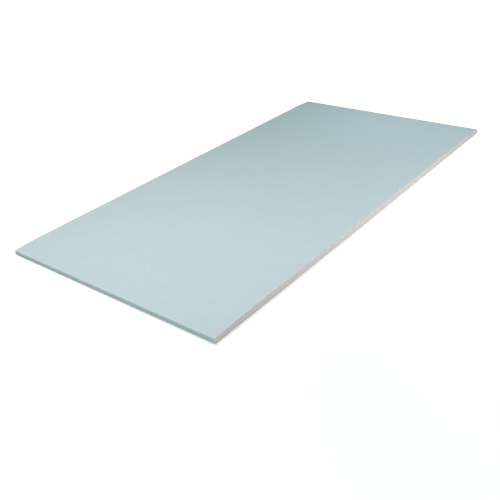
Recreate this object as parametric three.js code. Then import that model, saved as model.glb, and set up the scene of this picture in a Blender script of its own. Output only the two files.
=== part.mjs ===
// Drywall sheet: a tapered-edge plasterboard, lying on its back with its face up.
//
// The plaster core is cast between two running webs of paper. The face paper is folded up round both
// long edges of the running board and laps in under its back, and the back paper is laid over the laps.
// The finished board is cut across, so its section is the same from one cut end to the other, and each
// piece is one section drawn in the X-Y plane and extruded along Z. The group then stands the drawing up.
//
// Frame of the sheet, in millimetres: X from bound edge to bound edge, Y from cut end to cut end, Z up.
// The origin is in the middle of the back.

import * as THREE from "three";

// ---- Driving dimensions ----

const SHEET_WIDTH = 1200; // from bound edge to bound edge
const SHEET_LENGTH = 600; // from cut end to cut end
const SHEET_THICKNESS = 15; // in the flat field of the face

const TAPER_WIDTH = 60; // from the bound edge to where the flat field would start without its crest
const TAPER_DEPTH = 2.5; // how far the face falls from the field to the bound edge
const CREST_RADIUS = 500; // the soft turn from the field into the taper

const SHOULDER_RADIUS = 2.5; // the turn from the taper down into the bound edge
const HEEL_RADIUS = 2.8; // the turn from the bound edge in under the back

const FACE_PAPER_THICKNESS = 0.4;
const BACK_PAPER_THICKNESS = 0.4;
const LAP_REACH = 30; // from the bound edge to where the face paper ends, between core and back paper
const BACK_PAPER_SETBACK = 7.5; // from the bound edge to the side of the back paper

const ARC_DIVISIONS = 6; // each arc is drawn with twice as many chords

// ---- Places that follow from them ----

const edgeX = SHEET_WIDTH / 2;
const lapEndX = edgeX - LAP_REACH;
const backPaperSideX = edgeX - BACK_PAPER_SETBACK;
const taperAngle = Math.atan2(TAPER_DEPTH, TAPER_WIDTH);
const taperNormalAngle = Math.PI / 2 - taperAngle;

// The lap lies on the back paper, so the underside of the face paper's lap is one paper above the back.
const heelCentre = new THREE.Vector2(edgeX - HEEL_RADIUS, BACK_PAPER_THICKNESS + HEEL_RADIUS);

// The shoulder touches the bound edge and the slope of the taper. Its centre is this far below the corner
// that the two would make without it.
const shoulderDrop = SHOULDER_RADIUS * (1 / Math.cos(taperAngle) - Math.tan(taperAngle));
const shoulderCentre = new THREE.Vector2(
  edgeX - SHOULDER_RADIUS,
  SHEET_THICKNESS - TAPER_DEPTH - shoulderDrop,
);

// The crest touches the slope of the taper and the field.
const crestCentre = new THREE.Vector2(
  edgeX - TAPER_WIDTH - CREST_RADIUS * Math.tan(taperAngle / 2),
  SHEET_THICKNESS - CREST_RADIUS,
);

// ---- Lines of the section ----

/**
 * The line of the +X bound edge at a depth below the outer surface of the face paper: from the end of the
 * lap out to the heel, up the edge, over the shoulder and up the taper to the field. All depths turn about
 * the same centres, so paper drawn between two of these lines is equally thick all the way round.
 */
function boundEdgeLine(depth) {
  const line = new THREE.Path();
  line.moveTo(lapEndX, BACK_PAPER_THICKNESS + depth);
  line.lineTo(heelCentre.x, BACK_PAPER_THICKNESS + depth);
  line.absarc(heelCentre.x, heelCentre.y, HEEL_RADIUS - depth, -Math.PI / 2, 0);
  line.absarc(shoulderCentre.x, shoulderCentre.y, SHOULDER_RADIUS - depth, 0, taperNormalAngle);
  line.absarc(crestCentre.x, crestCentre.y, CREST_RADIUS - depth, taperNormalAngle, Math.PI / 2);
  return line.getPoints(ARC_DIVISIONS);
}

/** Carries the line of the +X bound edge across the field and back down round the -X one. */
function acrossSheet(edgeLine) {
  const mirrored = edgeLine.map((point) => new THREE.Vector2(-point.x, point.y));
  return [...edgeLine, ...mirrored.reverse()];
}

const paperOutside = acrossSheet(boundEdgeLine(0));
const paperInside = acrossSheet(boundEdgeLine(FACE_PAPER_THICKNESS));

// ---- Sections of the three pieces ----

const facePaperSection = new THREE.Shape([...paperOutside, ...paperInside.toReversed()]);

// The core fills the face paper. Between the laps it swells down onto the back paper.
const coreSection = new THREE.Shape([
  ...paperInside,
  new THREE.Vector2(-lapEndX, BACK_PAPER_THICKNESS),
  new THREE.Vector2(lapEndX, BACK_PAPER_THICKNESS),
]);

const backPaperSection = new THREE.Shape([
  new THREE.Vector2(-backPaperSideX, 0),
  new THREE.Vector2(backPaperSideX, 0),
  new THREE.Vector2(backPaperSideX, BACK_PAPER_THICKNESS),
  new THREE.Vector2(-backPaperSideX, BACK_PAPER_THICKNESS),
]);

// ---- Pieces ----

function cutToLength(name, section, material) {
  const geometry = new THREE.ExtrudeGeometry(section, { depth: SHEET_LENGTH, bevelEnabled: false });
  const piece = new THREE.Mesh(geometry, new THREE.MeshStandardMaterial(material));
  piece.name = name;
  return piece;
}

const sheet = new THREE.Group();
sheet.name = "drywall_sheet";
sheet.add(
  cutToLength("gypsum_core", coreSection, { color: "#cfcac0", roughness: 0.95, metalness: 0 }),
  cutToLength("face_paper", facePaperSection, { color: "#bfd1d6", roughness: 0.8, metalness: 0 }),
  cutToLength("back_paper", backPaperSection, { color: "#aca78f", roughness: 0.9, metalness: 0 }),
);

// Stand the sections up, so that their Y becomes the sheet's Z, and put the middle of the cut at the origin.
sheet.rotation.x = Math.PI / 2;
sheet.position.y = SHEET_LENGTH / 2;

export default sheet;
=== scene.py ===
"""A sheet of tapered-edge plasterboard, lying face up on a plain studio floor.

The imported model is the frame. It holds three solids: the gypsum core, the face paper that is wrapped
round both bound edges, and the back paper. Their sections are read back from it, and each solid is
replaced by a piece of the same section with the finer relief of a sheet that was cut to length: dented
paper, crushed and ragged cut edges, and foamed plaster that stands a little back from the cut.

Lengths are metres. X runs from bound edge to bound edge, Y from cut end to cut end, and Z up from the
back.
"""

import math

import bpy
import numpy as np
from mathutils import Matrix, Vector, geometry, noise


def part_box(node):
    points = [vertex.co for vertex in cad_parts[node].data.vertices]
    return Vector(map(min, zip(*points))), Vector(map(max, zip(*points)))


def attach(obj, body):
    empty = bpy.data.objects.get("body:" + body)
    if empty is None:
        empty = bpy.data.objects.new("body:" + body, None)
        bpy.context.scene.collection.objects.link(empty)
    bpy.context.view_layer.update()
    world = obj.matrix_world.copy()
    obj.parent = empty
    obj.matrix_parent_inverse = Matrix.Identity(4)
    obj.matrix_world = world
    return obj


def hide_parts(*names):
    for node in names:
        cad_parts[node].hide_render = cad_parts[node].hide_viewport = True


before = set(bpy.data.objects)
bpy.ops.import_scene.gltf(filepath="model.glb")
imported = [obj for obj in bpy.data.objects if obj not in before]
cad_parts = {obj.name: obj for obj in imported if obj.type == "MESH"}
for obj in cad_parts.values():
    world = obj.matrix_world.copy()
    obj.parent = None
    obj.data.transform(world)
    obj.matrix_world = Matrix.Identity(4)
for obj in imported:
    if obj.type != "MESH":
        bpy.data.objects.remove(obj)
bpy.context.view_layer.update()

MM = 0.001
CM2 = 1e4  # square centimetres in a square metre

# ---- Sizes that come from the frame ----

_, core_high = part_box("gypsum_core")
_, face_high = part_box("face_paper")
back_low, back_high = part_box("back_paper")

CUT_Y = face_high.y
FACE_HEIGHT = face_high.z
MIDDLE_HEIGHT = FACE_HEIGHT / 2
FACE_PAPER = face_high.z - core_high.z
BACK_PAPER = back_high.z - back_low.z

# ---- Sizes of the relief ----

PAPER_STEP = 8 * MM  # between points on the open paper
NEAR_CUT = np.array([0, 0.3, 0.7, 1.4, 2.8, 5.0]) * MM  # rows of points, in from each cut end
PAPER_WAVE = 0.06 * MM  # how deep the paper dips between the high spots of the core
WAVE_LENGTH = 45 * MM  # between those spots
RAGGED_CUT = 0.18 * MM  # how far the paper's cut edge wanders
RAGGED_LENGTH = 4 * MM  # between the swells of that line
CRUSHED_DEPTH = 0.15 * MM  # how far the blade presses the paper's surface down at the cut
CRUSHED_REACH = 1.0 * MM  # how far in from the cut that has mostly faded
FACE_LANE, BACK_LANE = 1, 2  # each web of paper has its own pattern of noise

CORE_STEP = 0.72 * MM  # between points on a cut end of the core
CORE_SCATTER = 0.3  # of a step: how far the points within the outline are moved off an even grid
SCATTER_SEED = 7
FRONT_SEED, FAR_SEED = 3, 4  # for the relief of the two cut ends
CORE_RECESS = 0.1 * MM  # from the plane of the cut to the highest plaster
CORE_UNEVEN = 0.2 * MM  # how far the cut wanders in the soft plaster
UNEVEN_LENGTH = 35 * MM
CORE_GRIT = 0.06 * MM  # how rough the plaster is between its pores
GRIT_LENGTH = 2.2 * MM
PORES_PER_CM2 = 9  # the larger air pores, the smaller ones being left to the material
PORE_RADIUS = (0.35 * MM, 1.1 * MM)
VOIDS_PER_METRE = 9  # large bubbles that the blade has opened
VOID_RADIUS = (1.1 * MM, 1.9 * MM)
BUBBLE_DEPTH = 0.7  # of a pore's or a void's radius
CHIPS_PER_METRE = 55  # broken out of the plaster along the papers
CHIP_RADIUS = (0.9 * MM, 3.0 * MM)
CHIP_DEPTH = (0.15 * MM, 0.55 * MM)

ARRIS_ANGLE = math.radians(40)  # a turn sharper than this is an arris
LANE_SHIFT = (17.3, 5.1, 29.7)  # how far apart the patterns of noise are taken


# ---- Sections, read from the frame ----


def cut_corners(node):
    """The (x, z) corners of a solid's front cut end, each once."""
    points = np.array([corner.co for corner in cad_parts[node].data.vertices])
    front = points[points[:, 1] < 0]
    return np.unique(front[:, [0, 2]].round(6), axis=0)


def clockwise(corners):
    """Corners in their order round the sheet, from the middle of its back, seen along +Y."""
    return corners[np.argsort(np.arctan2(corners[:, 0], corners[:, 1] - MIDDLE_HEIGHT))]


def refined(stations, step):
    """Stations along a line, with more of them wherever two lie further apart than a step."""
    parts = [stations[:1]]
    for start, end in zip(stations[:-1], stations[1:]):
        count = math.ceil(math.dist(start[:2], end[:2]) / step)
        parts.append(start + (end - start) * np.arange(1, count + 1)[:, None] / count)
    return np.concatenate(parts)


core_outline = clockwise(cut_corners("gypsum_core"))
# The outline's first and last corners are where the core swells down between the laps, off the paper.
face_inside = core_outline[1:-1]
face_corners = cut_corners("face_paper")
off_the_core = np.linalg.norm(face_corners[:, None] - face_inside, axis=2).min(axis=1) > FACE_PAPER / 2
face_outside = clockwise(face_corners[off_the_core])

back_outside = np.array([(back_high.x, back_low.z), (back_low.x, back_low.z)])
back_inside = back_outside + (0, BACK_PAPER)


# ---- Meshes ----


def piece_from(name, points, faces, slots, materials):
    """A piece of the sheet, smooth but for its arrises. slots gives each face's place in materials."""
    mesh = bpy.data.meshes.new(name)
    mesh.from_pydata(points.tolist(), [], faces)
    for material in materials:
        mesh.materials.append(material)
    mesh.polygons.foreach_set("material_index", slots)
    mesh.shade_smooth()
    mesh.set_sharp_from_angle(angle=ARRIS_ANGLE)
    mesh.update()
    piece = bpy.data.objects.new(name, mesh)
    bpy.context.scene.collection.objects.link(piece)
    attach(piece, "root")
    return piece


def noise_at(points, length, lane):
    """Smooth noise from 0 to 1 at each point, with swells of a length. Each lane is another pattern."""
    shift = Vector([lane * distance for distance in LANE_SHIFT])
    return np.array([0.5 + 0.5 * noise.noise(Vector(p) / length + shift) for p in points.tolist()])


def paper_rows():
    """Where rows of points lie along Y: close together near each cut end, and a step apart between."""
    near = CUT_Y - NEAR_CUT
    count = round(2 * near[-1] / PAPER_STEP)
    open_rows = np.linspace(-near[-1], near[-1], count + 1)[1:-1]
    return np.concatenate([-near, open_rows, near[::-1]])


def paper_web(name, outside, inside, liner, plies, lane):
    """A web of paper between two lines of one section, from cut end to cut end, dented on its outside."""
    stations = refined(np.hstack([outside, inside]), PAPER_STEP)
    outer, inner = stations[:, :2], stations[:, 2:]
    width = len(stations)
    thickness = np.linalg.norm(outer - inner, axis=1, keepdims=True)
    inward = (inner - outer) / thickness

    rows = paper_rows()
    along_cut = np.column_stack([outer[:, 0], outer[:, 1], np.zeros(width)])
    ragged = RAGGED_CUT * noise_at(along_cut, RAGGED_LENGTH, lane)
    points = []
    for y in rows:
        near_cut = math.exp((abs(y) - CUT_Y) / CRUSHED_REACH)
        at = np.column_stack([outer[:, 0], np.full(width, y), outer[:, 1]])
        dent = PAPER_WAVE * noise_at(at, WAVE_LENGTH, lane) + CRUSHED_DEPTH * near_cut
        surface = outer + inward * dent[:, None]
        along = y - math.copysign(near_cut, y) * ragged
        points.append(np.column_stack([surface[:, 0], along, surface[:, 1]]))
        points.append(np.column_stack([inner[:, 0], along, inner[:, 1]])[::-1])

    ring = np.arange(len(rows) * 2 * width).reshape(len(rows), 2 * width)
    turned = np.roll(ring, -1, axis=1)
    sides = np.stack([ring[:-1], turned[:-1], turned[1:], ring[1:]], axis=-1).reshape(-1, 4)
    side_slots = np.tile(np.arange(2 * width) >= width - 1, len(rows) - 1)

    def cap(row):
        front, behind = ring[row, :width], ring[row, : width - 1 : -1]
        return np.stack([front[:-1], behind[:-1], behind[1:], front[1:]], axis=-1)

    ends = np.concatenate([cap(0), cap(-1)[:, ::-1]])
    faces = np.concatenate([sides, ends]).tolist()
    slots = np.concatenate([side_slots, np.ones(len(ends), bool)]).astype(int)
    return piece_from(name, np.concatenate(points), faces, slots, [liner, plies])


def core_section():
    """The core's section in points and triangles. The points of its outline come first."""
    outline = refined(np.vstack([core_outline, core_outline[:1]]), CORE_STEP)[:-1]
    half = core_outline[core_outline[:, 0] > 0]
    upper = half[half[:, 1] > MIDDLE_HEIGHT]
    lower = half[half[:, 1] < MIDDLE_HEIGHT][::-1]

    rng = np.random.default_rng(SCATTER_SEED)
    edge, margin = outline[:, 0].max(), CORE_STEP / 2
    across = np.arange(-edge, edge, CORE_STEP)
    up = np.arange(BACK_PAPER, FACE_HEIGHT, CORE_STEP)
    grid = np.stack(np.meshgrid(across, up), axis=-1).reshape(-1, 2)
    grid += rng.uniform(-CORE_SCATTER, CORE_SCATTER, grid.shape) * CORE_STEP
    out = np.abs(grid[:, 0])
    above = grid[:, 1] - np.interp(out, *lower.T)
    below = np.interp(out, *upper.T) - grid[:, 1]
    inside = grid[(above > margin) & (below > margin) & (out < edge - margin)]

    spread = [Vector(p) for p in np.vstack([outline, inside]).tolist()]
    rim = list(range(len(outline)))
    only_inside, merge_distance = 1, 1e-9
    filled = geometry.delaunay_2d_cdt(spread, [], [rim[::-1]], only_inside, merge_distance)
    points, _, triangles, *_ = filled
    return np.array([p[:] for p in points]), [list(t) for t in triangles], rim


def cut_depth(section, seed):
    """How far behind the plane of the cut the plaster lies, at each (x, z) point of one end."""
    rng = np.random.default_rng(seed)
    at = np.column_stack([section, np.zeros(len(section))])
    depth = CORE_RECESS + CORE_UNEVEN * noise_at(at, UNEVEN_LENGTH, seed)
    depth += CORE_GRIT * noise_at(at, GRIT_LENGTH, seed + 1)

    left, right = section[:, 0].min(), section[:, 0].max()
    low, high = section[:, 1].min(), section[:, 1].max()
    pores = round(PORES_PER_CM2 * CM2 * (right - left) * (high - low))
    voids = round(VOIDS_PER_METRE * (right - left))
    chips = round(CHIPS_PER_METRE * (right - left))
    # Most pores are small: a cube of the draw leaves only a few of them near the largest size.
    pore_radii = PORE_RADIUS[0] + (PORE_RADIUS[1] - PORE_RADIUS[0]) * rng.random(pores) ** 3
    bubble_radii = np.concatenate([pore_radii, rng.uniform(*VOID_RADIUS, voids)])
    bubbles = rng.uniform((left, low), (right, high), (pores + voids, 2))
    at_rims = np.column_stack([rng.uniform(left, right, chips), rng.choice([low, high], chips)])
    middles = np.vstack([bubbles, at_rims])
    radii = np.concatenate([bubble_radii, rng.uniform(*CHIP_RADIUS, chips)])
    depths = np.concatenate([BUBBLE_DEPTH * bubble_radii, rng.uniform(*CHIP_DEPTH, chips)])

    order = np.argsort(section[:, 0])
    in_order = section[order]
    hollow = np.zeros(len(section))
    for middle, radius, deep in zip(middles, radii, depths):
        first, last = np.searchsorted(in_order[:, 0], (middle[0] - radius, middle[0] + radius))
        share = np.linalg.norm(in_order[first:last] - middle, axis=1) / radius
        bowl = deep * np.sqrt(np.clip(1 - share**2, 0, 1))
        hollow[order[first:last]] = np.maximum(hollow[order[first:last]], bowl)
    return depth + hollow


# ---- Colours and materials ----

# The middle of the fold's outer turn, where the outline of the paper leans halfway.
shoulder_x, shoulder_z = max(face_outside.tolist(), key=sum)
SHOULDER_LINE = (shoulder_x, 0, shoulder_z)
FOLD_REACH = 5.5 * MM
FOLD_HIGHLIGHT_SHARE = 0.5  # of the dye is covered by painted highlight on the fold's rounded shoulder
CUT_LINE = (0, CUT_Y, 0)
DUST_AND_HIGHLIGHT_REACH = 12 * MM
DUST_AND_HIGHLIGHT_SHARE = 0.34  # of the dye is hidden at the cut by plaster dust and by painted highlight on the arris
CORNER_LINE = (face_high.x, CUT_Y, 0)
TORN_REACH = 4 * MM
TORN_SHARE = 0.95  # of the dye is gone at the corners, where the paper is torn and furry
PAINTED_PINHOLE_SHADE = 0.5  # of the way from the plaster's tone to the painted shade in a pinhole


def srgb(code):
    """A linear RGBA colour from an sRGB hex code."""
    channels = [int(code[i : i + 2], 16) / 255 for i in (1, 3, 5)]
    return [c / 12.92 if c <= 0.04045 else ((c + 0.055) / 1.055) ** 2.4 for c in channels] + [1.0]


def add(tree, kind, inputs=None, **settings):
    """Adds a node of a kind. Each input is a value, or the output socket that it is linked to."""
    made = tree.nodes.new(kind)
    for name, value in settings.items():
        setattr(made, name, value)
    for name, value in (inputs or {}).items():
        if isinstance(value, bpy.types.NodeSocket):
            tree.links.new(value, made.inputs[name])
        else:
            made.inputs[name].default_value = value
    return made


def per(millimetres):
    """The scale at which a pattern repeats itself about once in this many millimetres."""
    return 1 / (millimetres * MM)


def new_material(name):
    """A material, with its node tree and the Principled shader in it."""
    material = bpy.data.materials.new(name)
    material.use_nodes = True
    tree = material.node_tree
    return material, tree, tree.nodes["Principled BSDF"]


def near_line(tree, place, line, across, reach, most):
    """The most on a line of the sheet and its mirror images, falling to nothing at the reach.

    The distance is measured along the axes that have a 1 in across. The line has a 0 for the others.
    """
    mirrored = add(tree, "ShaderNodeVectorMath", {0: place}, operation="ABSOLUTE")
    kept = {0: mirrored.outputs["Vector"], 1: across}
    flat = add(tree, "ShaderNodeVectorMath", kept, operation="MULTIPLY")
    away = add(tree, "ShaderNodeVectorMath", {0: flat.outputs["Vector"], 1: line}, operation="DISTANCE")
    fall = {"Value": away.outputs["Value"], "From Max": reach, "To Min": most, "To Max": 0.0}
    return add(tree, "ShaderNodeMapRange", fall, interpolation_type="SMOOTHSTEP").outputs["Result"]


def face_liner_paper():
    """Dyed and sized face liner: smooth matt paper, pressed flat, with its fibres along the bound edges.

    The eye sees an even pale blue-green with the faintest cloud in it, a paler line on the fold that is a
    painted highlight on its rounded shoulder, a creamier one along the cut that is plaster dust rubbed
    into it and a painted highlight on the arris, and next to no gloss.
    """
    material, tree, surface = new_material("dyed face liner paper")
    place = add(tree, "ShaderNodeTexCoord").outputs["Object"]
    # A pattern that follows the fibres is drawn out in Y.
    along = add(tree, "ShaderNodeMapping", {"Vector": place, "Scale": (1, 0.3, 1)}).outputs["Vector"]
    cloud = add(tree, "ShaderNodeTexNoise", {"Vector": place, "Scale": per(28), "Detail": 3.0})
    # Fibres are about 0.03 mm thick. They are drawn as bundles of 2 mm, so that they show.
    bundles = {"Vector": along, "Scale": per(2), "Detail": 4.0, "Roughness": 0.6}
    fibre = add(tree, "ShaderNodeTexNoise", bundles)
    both = {"Fac": 0.75, "Color1": cloud.outputs["Fac"], "Color2": fibre.outputs["Fac"]}
    uneven = add(tree, "ShaderNodeMixRGB", both)
    taken_up = {"Value": uneven.outputs["Color"], "From Min": 0.25, "From Max": 0.75}
    dye = add(tree, "ShaderNodeMapRange", taken_up)
    tones = {"Fac": dye.outputs["Result"], "Color1": srgb("#bad0d5"), "Color2": srgb("#cadade")}
    dyed = add(tree, "ShaderNodeMixRGB", tones)

    patches = {"Value": fibre.outputs["Fac"], "From Min": 0.3, "From Max": 0.7}
    patchy = add(tree, "ShaderNodeMapRange", {**patches, "To Min": 0.7, "To Max": 1.0})
    colour = dyed
    for line, across, reach, share, tone in (
        # painted highlight on the fold's rounded shoulder
        (SHOULDER_LINE, (1, 0, 1), FOLD_REACH, FOLD_HIGHLIGHT_SHARE, "#dbecf3"),
        # plaster dust and painted highlight along the cut's arris
        (CUT_LINE, (0, 1, 0), DUST_AND_HIGHLIGHT_REACH, DUST_AND_HIGHLIGHT_SHARE, "#dcd5c8"),
        (CORNER_LINE, (1, 1, 0), TORN_REACH, TORN_SHARE, "#e1e6e4"),
    ):
        wear_and_highlight = {0: near_line(tree, place, line, across, reach, share), 1: patchy.outputs["Result"]}
        patch = add(tree, "ShaderNodeMath", wear_and_highlight, operation="MULTIPLY")
        over = {"Fac": patch.outputs["Value"], "Color1": colour.outputs["Color"], "Color2": srgb(tone)}
        colour = add(tree, "ShaderNodeMixRGB", over)

    grain = add(tree, "ShaderNodeTexNoise", {"Vector": along, "Scale": per(0.9), "Detail": 3.0})
    raised = {"Height": grain.outputs["Fac"], "Strength": 0.5, "Distance": 0.08 * MM}
    bump = add(tree, "ShaderNodeBump", raised)
    tree.links.new(colour.outputs["Color"], surface.inputs["Base Color"])
    tree.links.new(bump.outputs["Normal"], surface.inputs["Normal"])
    surface.inputs["Roughness"].default_value = 0.8
    surface.inputs["Specular IOR Level"].default_value = 0.15
    return material


def cut_paper_plies():
    """The grey inner plies of the liners, where a blade has gone through them: recycled pulp.

    The eye sees a dull, slightly furry grey line round the plaster, lumpier than the face of the paper.
    """
    material, tree, surface = new_material("cut paper plies")
    place = add(tree, "ShaderNodeTexCoord").outputs["Object"]
    pulp = add(tree, "ShaderNodeTexNoise", {"Vector": place, "Scale": per(1.2), "Detail": 3.0})
    pulped = {"Value": pulp.outputs["Fac"], "From Min": 0.3, "From Max": 0.7}
    lumps = add(tree, "ShaderNodeMapRange", pulped)
    tones = {"Fac": lumps.outputs["Result"], "Color1": srgb("#aeaca3"), "Color2": srgb("#cbc8bc")}
    colour = add(tree, "ShaderNodeMixRGB", tones)
    tree.links.new(colour.outputs["Color"], surface.inputs["Base Color"])
    surface.inputs["Roughness"].default_value = 0.95
    surface.inputs["Specular IOR Level"].default_value = 0.2
    return material


def back_liner_paper():
    """Unbleached recycled back liner: coarse grey-brown paper, with flecks of other pulp through it.

    The eye sees an uneven, dull olive grey, cloudy and finely speckled, with its fibres lying along Y.
    """
    material, tree, surface = new_material("recycled back liner paper")
    place = add(tree, "ShaderNodeTexCoord").outputs["Object"]
    along = add(tree, "ShaderNodeMapping", {"Vector": place, "Scale": (1, 0.35, 1)}).outputs["Vector"]
    cloud = add(tree, "ShaderNodeTexNoise", {"Vector": place, "Scale": per(16), "Detail": 3.0})
    # Like the face's, its fibres are drawn as bundles, so that they show.
    bundles = {"Vector": along, "Scale": per(1.6), "Detail": 5.0, "Roughness": 0.7}
    fibre = add(tree, "ShaderNodeTexNoise", bundles)
    both = {"Fac": 0.5, "Color1": cloud.outputs["Fac"], "Color2": fibre.outputs["Fac"]}
    uneven = add(tree, "ShaderNodeMixRGB", both)
    mixed = {"Value": uneven.outputs["Color"], "From Min": 0.3, "From Max": 0.7}
    pulped = add(tree, "ShaderNodeMapRange", mixed)
    tones = {"Fac": pulped.outputs["Result"], "Color1": srgb("#a7a38c"), "Color2": srgb("#bebba8")}
    pulp = add(tree, "ShaderNodeMixRGB", tones)
    # Flecks of pulp are about 0.3 mm wide. They are drawn 1 mm wide, so that they show.
    fleck = add(tree, "ShaderNodeTexVoronoi", {"Vector": along, "Scale": per(6)})
    spots = {"Value": fleck.outputs["Distance"], "From Min": 0.06, "From Max": 0.13}
    spot = add(tree, "ShaderNodeMapRange", {**spots, "To Min": 0.35, "To Max": 0.0})
    speckled = {"Fac": spot.outputs["Result"], "Color1": pulp.outputs["Color"], "Color2": srgb("#7d786a")}
    colour = add(tree, "ShaderNodeMixRGB", speckled)
    raised = {"Height": fibre.outputs["Fac"], "Strength": 0.5, "Distance": 0.08 * MM}
    bump = add(tree, "ShaderNodeBump", raised)
    tree.links.new(colour.outputs["Color"], surface.inputs["Base Color"])
    tree.links.new(bump.outputs["Normal"], surface.inputs["Normal"])
    surface.inputs["Roughness"].default_value = 0.9
    surface.inputs["Specular IOR Level"].default_value = 0.2
    return material


def foamed_gypsum_plaster():
    """Foamed gypsum plaster, cut through: chalky, dull and off-white, and full of air pores.

    The eye sees a cream-grey mottle, pinholes darkened by painted shade, and faint streaks where the
    blade went down.
    """
    material, tree, surface = new_material("foamed gypsum plaster")
    place = add(tree, "ShaderNodeTexCoord").outputs["Object"]
    clouds = {"Vector": place, "Scale": per(9), "Detail": 3.0, "Roughness": 0.6}
    mottle = add(tree, "ShaderNodeTexNoise", clouds)
    dried = {"Value": mottle.outputs["Fac"], "From Min": 0.35, "From Max": 0.68}
    damp = add(tree, "ShaderNodeMapRange", dried)
    tones = {"Fac": damp.outputs["Result"], "Color1": srgb("#d5d0cb"), "Color2": srgb("#dcd9d3")}
    body = add(tree, "ShaderNodeMixRGB", tones)
    down = add(tree, "ShaderNodeMapping", {"Vector": place, "Scale": (1, 1, 0.06)}).outputs["Vector"]
    streak = add(tree, "ShaderNodeTexNoise", {"Vector": down, "Scale": per(1.5), "Detail": 2.0})
    scores = {"Value": streak.outputs["Fac"], "From Min": 0.35, "From Max": 0.65}
    scored = add(tree, "ShaderNodeMapRange", {**scores, "To Min": 0.12, "To Max": 0.0})
    dulled = {"Fac": scored.outputs["Result"], "Color1": body.outputs["Color"], "Color2": srgb("#a9a49b")}
    scraped = add(tree, "ShaderNodeMixRGB", dulled)
    # The foam's small bubbles are 0.1 to 0.5 mm wide, and the cut opens those that it meets. The pinholes
    # are drawn up to 0.6 mm wide and about 1.2 mm apart, so that they show, and darkened with painted
    # shade.
    bubble = add(tree, "ShaderNodeTexVoronoi", {"Vector": place, "Scale": per(1.2)})
    opened = {"Value": bubble.outputs["Distance"], "From Min": 0.03, "From Max": 0.26}
    pinhole = add(tree, "ShaderNodeMapRange", {**opened, "To Min": 1.0, "To Max": 0.0}).outputs["Result"]
    painted_shade_mask = add(tree, "ShaderNodeMath", {0: pinhole, 1: PAINTED_PINHOLE_SHADE}, operation="MULTIPLY")
    depth = painted_shade_mask.outputs["Value"]
    # Painted shade: each pinhole is mixed towards a dark tone.
    painted_pore_shade = {"Fac": depth, "Color1": scraped.outputs["Color"], "Color2": srgb("#86817a")}
    colour = add(tree, "ShaderNodeMixRGB", painted_pore_shade)
    crumbs = {"Vector": place, "Scale": per(0.8), "Detail": 4.0, "Roughness": 0.7}
    grit = add(tree, "ShaderNodeTexNoise", crumbs)
    sunk = {0: grit.outputs["Fac"], 1: pinhole}
    height = add(tree, "ShaderNodeMath", sunk, operation="SUBTRACT").outputs["Value"]
    raised = {"Height": height, "Strength": 0.6, "Distance": 0.2 * MM}
    bump = add(tree, "ShaderNodeBump", raised)
    tree.links.new(colour.outputs["Color"], surface.inputs["Base Color"])
    tree.links.new(bump.outputs["Normal"], surface.inputs["Normal"])
    surface.inputs["Roughness"].default_value = 0.95
    surface.inputs["Specular IOR Level"].default_value = 0.2
    return material


# ---- Pieces ----


def make_face_paper(liner, plies):
    """The face paper, wrapped round both bound edges and lapped in under the back."""
    piece = paper_web("face_liner", face_outside, face_inside, liner, plies, FACE_LANE)
    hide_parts("face_paper")


def make_back_paper(liner, plies):
    """The back paper, laid over the laps of the face paper."""
    piece = paper_web("back_liner", back_outside, back_inside, liner, plies, BACK_LANE)
    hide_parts("back_paper")


def make_core(plaster):
    """The gypsum core: two cut ends, and plain sides under the papers."""
    section, triangles, rim = core_section()
    count = len(section)
    front = np.column_stack([section[:, 0], cut_depth(section, FRONT_SEED) - CUT_Y, section[:, 1]])
    behind = np.column_stack([section[:, 0], CUT_Y - cut_depth(section, FAR_SEED), section[:, 1]])
    sides = [(i, j, j + count, i + count) for i, j in zip(rim, rim[1:] + rim[:1])]
    far_end = [[i + count for i in reversed(triangle)] for triangle in triangles]
    faces = sides + triangles + far_end
    piece = piece_from("plaster_core", np.vstack([front, behind]), faces, [0] * len(faces), [plaster])
    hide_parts("gypsum_core")


# ---- Studio ----

WHITE = "#ffffff"
FLOOR_SIDE = 12.0
FLOOR_PAINT = 0.75  # of the light that falls on the floor comes back from it
# The eye sees the floor brighter than it is lit. The glow grows away from the middle of the lamps' light,
# and so makes up for the light that fades there: the floor is white but for the sheet's shadow.
GLOW_MIDDLE = (-0.3, -0.35, 0)
GLOW_NEAR = 0.1  # metres from the middle to where the glow starts to grow
GLOW_FAR = 1.6  # metres from the middle to where it is full
LEAST_GLOW = 0.3


def eye_rays(tree):
    """1 on rays that the eye sees by, also in a mirror or through glass, and 0 on those that light."""
    rays = add(tree, "ShaderNodeLightPath").outputs
    seen = rays["Is Camera Ray"]
    for kind in ("Is Glossy Ray", "Is Transmission Ray"):
        seen = add(tree, "ShaderNodeMath", {0: seen, 1: rays[kind]}, operation="MAXIMUM").outputs[0]
    return seen


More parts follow.
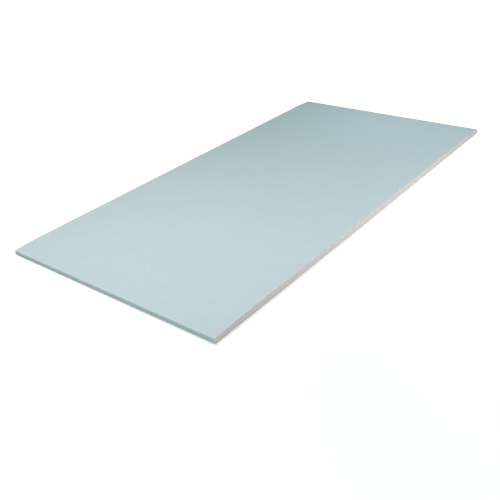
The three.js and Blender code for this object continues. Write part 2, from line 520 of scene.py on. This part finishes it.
def white_floor():
    """A matt white floor, seen brighter than it lights the sheet, so that it runs out to white."""
    half = FLOOR_SIDE / 2
    corners = [(-half, -half, 0), (half, -half, 0), (half, half, 0), (-half, half, 0)]
    mesh = bpy.data.meshes.new("studio_floor")
    mesh.from_pydata(corners, [], [(0, 1, 2, 3)])
    floor = bpy.data.objects.new("studio_floor", mesh)
    bpy.context.scene.collection.objects.link(floor)
    material, tree, _ = new_material("matt white floor paint")
    tree.nodes.clear()
    place = add(tree, "ShaderNodeTexCoord").outputs["Object"]
    away = add(tree, "ShaderNodeVectorMath", {0: place, 1: GLOW_MIDDLE}, operation="DISTANCE")
    reach = {"Value": away.outputs["Value"], "From Min": GLOW_NEAR, "From Max": GLOW_FAR}
    growth = {**reach, "To Min": LEAST_GLOW, "To Max": 1.0}
    lift = add(tree, "ShaderNodeMapRange", growth, interpolation_type="SMOOTHSTEP")
    seen = {0: eye_rays(tree), 1: lift.outputs["Result"]}
    glow = add(tree, "ShaderNodeMath", seen, operation="MULTIPLY")
    paint = add(tree, "ShaderNodeBsdfDiffuse", {"Color": (FLOOR_PAINT, FLOOR_PAINT, FLOOR_PAINT, 1)})
    light = add(tree, "ShaderNodeEmission", {"Color": srgb(WHITE), "Strength": glow.outputs["Value"]})
    both = add(tree, "ShaderNodeAddShader", {0: paint.outputs[0], 1: light.outputs[0]})
    add(tree, "ShaderNodeOutputMaterial", {"Surface": both.outputs[0]})
    mesh.materials.append(material)


def soft_sky(level, code):
    """Even light from all round, behind which the eye sees white."""
    world = bpy.data.worlds.new("studio_sky")
    bpy.context.scene.world = world
    world.use_nodes = True
    tree = world.node_tree
    tree.nodes.clear()
    lit = add(tree, "ShaderNodeBackground", {"Color": srgb(code), "Strength": level})
    white = add(tree, "ShaderNodeBackground", {"Color": srgb(WHITE), "Strength": 1.0})
    both = add(tree, "ShaderNodeMixShader", {0: eye_rays(tree), 1: lit.outputs[0], 2: white.outputs[0]})
    add(tree, "ShaderNodeOutputWorld", {"Surface": both.outputs[0]})


def softbox(name, place, aim, side, level, code):
    """A square lamp. At level 1 and one metre away, it alone shows a colour as it is written."""
    data = bpy.data.lights.new(name, "AREA")
    data.size = side
    data.energy = level * math.pi**2
    data.color = srgb(code)[:3]
    lamp = bpy.data.objects.new(name, data)
    lamp.location = place
    lamp.rotation_euler = (Vector(aim) - Vector(place)).to_track_quat("-Z", "Y").to_euler()
    bpy.context.scene.collection.objects.link(lamp)


def camera(place, aim, roll, lens):
    """The camera, looking down on the sheet from beyond its near corner."""
    data = bpy.data.cameras.new("camera")
    data.sensor_width = 36
    data.lens = lens
    data.clip_start = 0.05
    data.clip_end = 50
    made = bpy.data.objects.new("camera", data)
    level = (Vector(aim) - Vector(place)).to_track_quat("-Z", "Y").to_matrix()
    turned = level @ Matrix.Rotation(roll, 3, "Z")
    made.matrix_world = Matrix.Translation(place) @ turned.to_4x4()
    bpy.context.scene.collection.objects.link(made)
    bpy.context.scene.camera = made


# ---- The scene ----

cut_plies = cut_paper_plies()
make_face_paper(face_liner_paper(), cut_plies)
make_back_paper(back_liner_paper(), cut_plies)
make_core(foamed_gypsum_plaster())

white_floor()
soft_sky(level=0.268, code="#d6fffe")
# The key lamp hangs over the -X bound edge, and the fill lamp stands before the front cut end. Two weak
# lamps fill in the +X side and the -X bound edge.
softbox("key_lamp", place=(-0.6, 0.11, 1.15), aim=(-0.6, 0.11, 0), side=0.8, level=1.113, code="#fff1f0")
softbox("fill_lamp", place=(0.16, -1.2, 0.45), aim=(0.16, -0.3, 0), side=0.5, level=0.723, code="#fff4f9")
softbox("side_lamp", place=(0.68, -0.04, 0.5), aim=(0.6, -0.04, 0), side=0.4, level=0.067, code=WHITE)
softbox("edge_lamp", place=(-1.2, -0.32, 0.22), aim=(-0.6, -0.32, 0), side=0.3, level=0.029, code=WHITE)
camera(
    place=(-1.2829, -0.9749, 0.7388),
    aim=(-0.3011, -0.1462, 0),
    roll=math.radians(-4.403),
    lens=48.376,
)
bpy.context.scene.view_settings.view_transform = "Standard"
